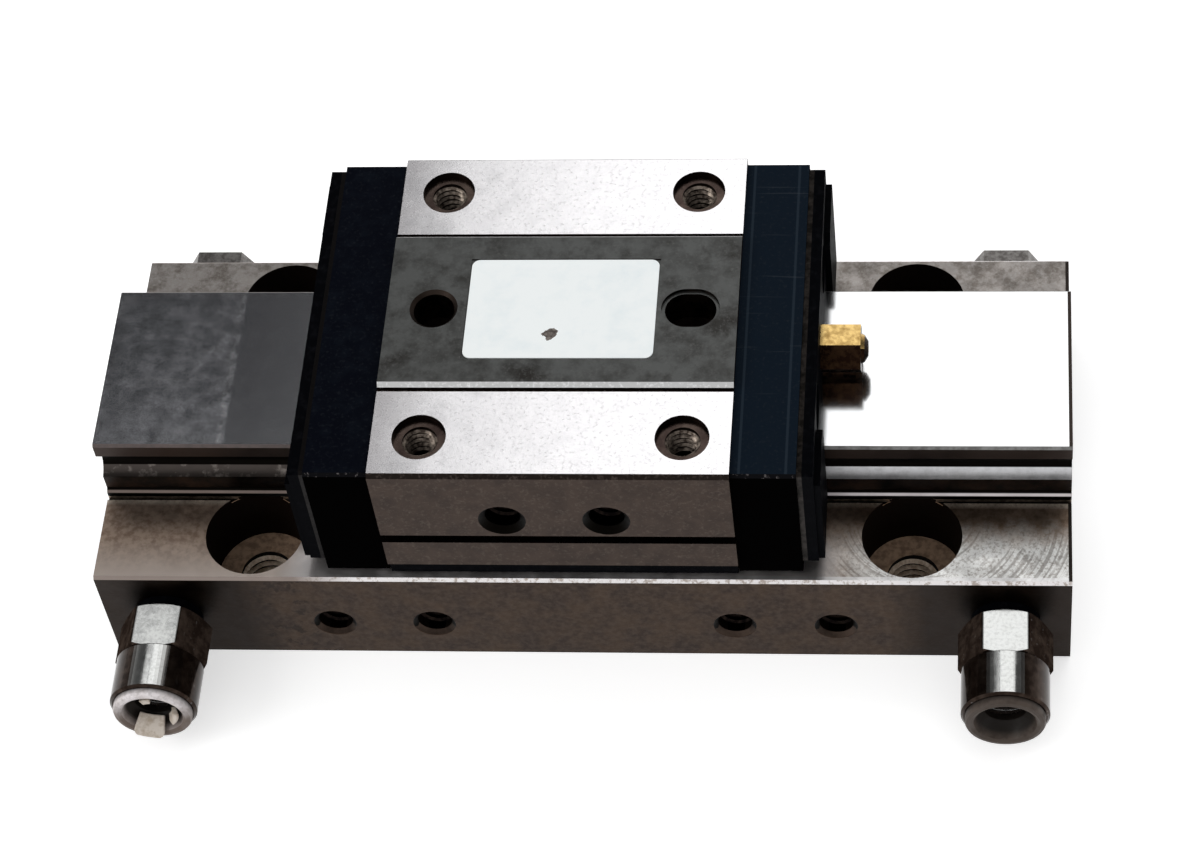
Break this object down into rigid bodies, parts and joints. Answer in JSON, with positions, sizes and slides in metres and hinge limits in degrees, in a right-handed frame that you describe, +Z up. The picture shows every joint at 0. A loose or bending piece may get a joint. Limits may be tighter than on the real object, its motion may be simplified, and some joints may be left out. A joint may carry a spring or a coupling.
{
  "type": "pneumatic slide cylinder",
  "caption": "Compact air-driven slide: steel base with rail and bore in one piece, ball-guided carriage, push-in air fittings.",
  "frame": {"origin": "centre of the base's flat underside", "axes": "+X along the travel, to the right in the picture; +Y to the back, away from the air fittings; +Z up, out of the table"},
  "size_m": [0.096, 0.0552, 0.0305],
  "materials": {
    "body_steel": "ground, with a worn satin",
    "block_steel": "ground, with a worn satin",
    "nose_alloy": "turned",
    "black_rubber": "matte",
    "spring_steel": "polished",
    "plate_steel": "dull",
    "nickel": "nickel plated",
    "white_plastic": "satin",
    "black_plastic": "satin, scratched",
    "guide_plastic": "satin",
    "black_oxide": "black oxide",
    "brass": "turned",
    "label_film": "satin film"
  },
  "bodies": {
    "cylinder": {"slide_body": "body_steel", "end_plug_left": "nose_alloy", "end_plug_right": "nose_alloy", "end_plug_seals": "black_rubber", "retaining_rings": "spring_steel", "bumpers": "black_rubber", "port_fitting_left": "nickel", "port_fitting_right": "nickel", "fitting_gaskets": "black_rubber", "tube_seals": "black_rubber", "tube_collets": "spring_steel", "blanking_plugs": "nickel", "plug_gaskets": "black_rubber"},
    "carriage": {"carriage_block": "block_steel", "ball_guide_left": "guide_plastic", "ball_guide_right": "guide_plastic", "end_cap_left": "black_plastic", "end_cap_right": "black_plastic", "seal_plate_left": "plate_steel", "seal_plate_right": "plate_steel", "end_seal_left": "black_rubber", "end_seal_right": "black_rubber", "side_seals": "black_rubber", "ball_retainers": "spring_steel", "bearing_balls": "spring_steel", "cap_screws": "black_oxide", "grease_nipple": "brass", "blank_label": "label_film", "piston": "nose_alloy", "piston_seals": "black_rubber", "wear_rings": "white_plastic", "drive_pin": "spring_steel"},
    "release_left": {"release_ring_left": "white_plastic"},
    "release_right": {"release_ring_right": "white_plastic"}
  },
  "joints": [
    {"name": "carriage_slide", "type": "slide", "parent": "cylinder", "child": "carriage", "axis": [1, 0, 0], "range_m": [-0.0088, 0.0112]},
    {"name": "release_left_push", "type": "slide", "parent": "cylinder", "child": "release_left", "axis": [0, 1, 0], "range_m": [0, 0.0006], "stiffness_N_per_m": 500},
    {"name": "release_right_push", "type": "slide", "parent": "cylinder", "child": "release_right", "axis": [0, 1, 0], "range_m": [0, 0.0006], "stiffness_N_per_m": 500}
  ]
}
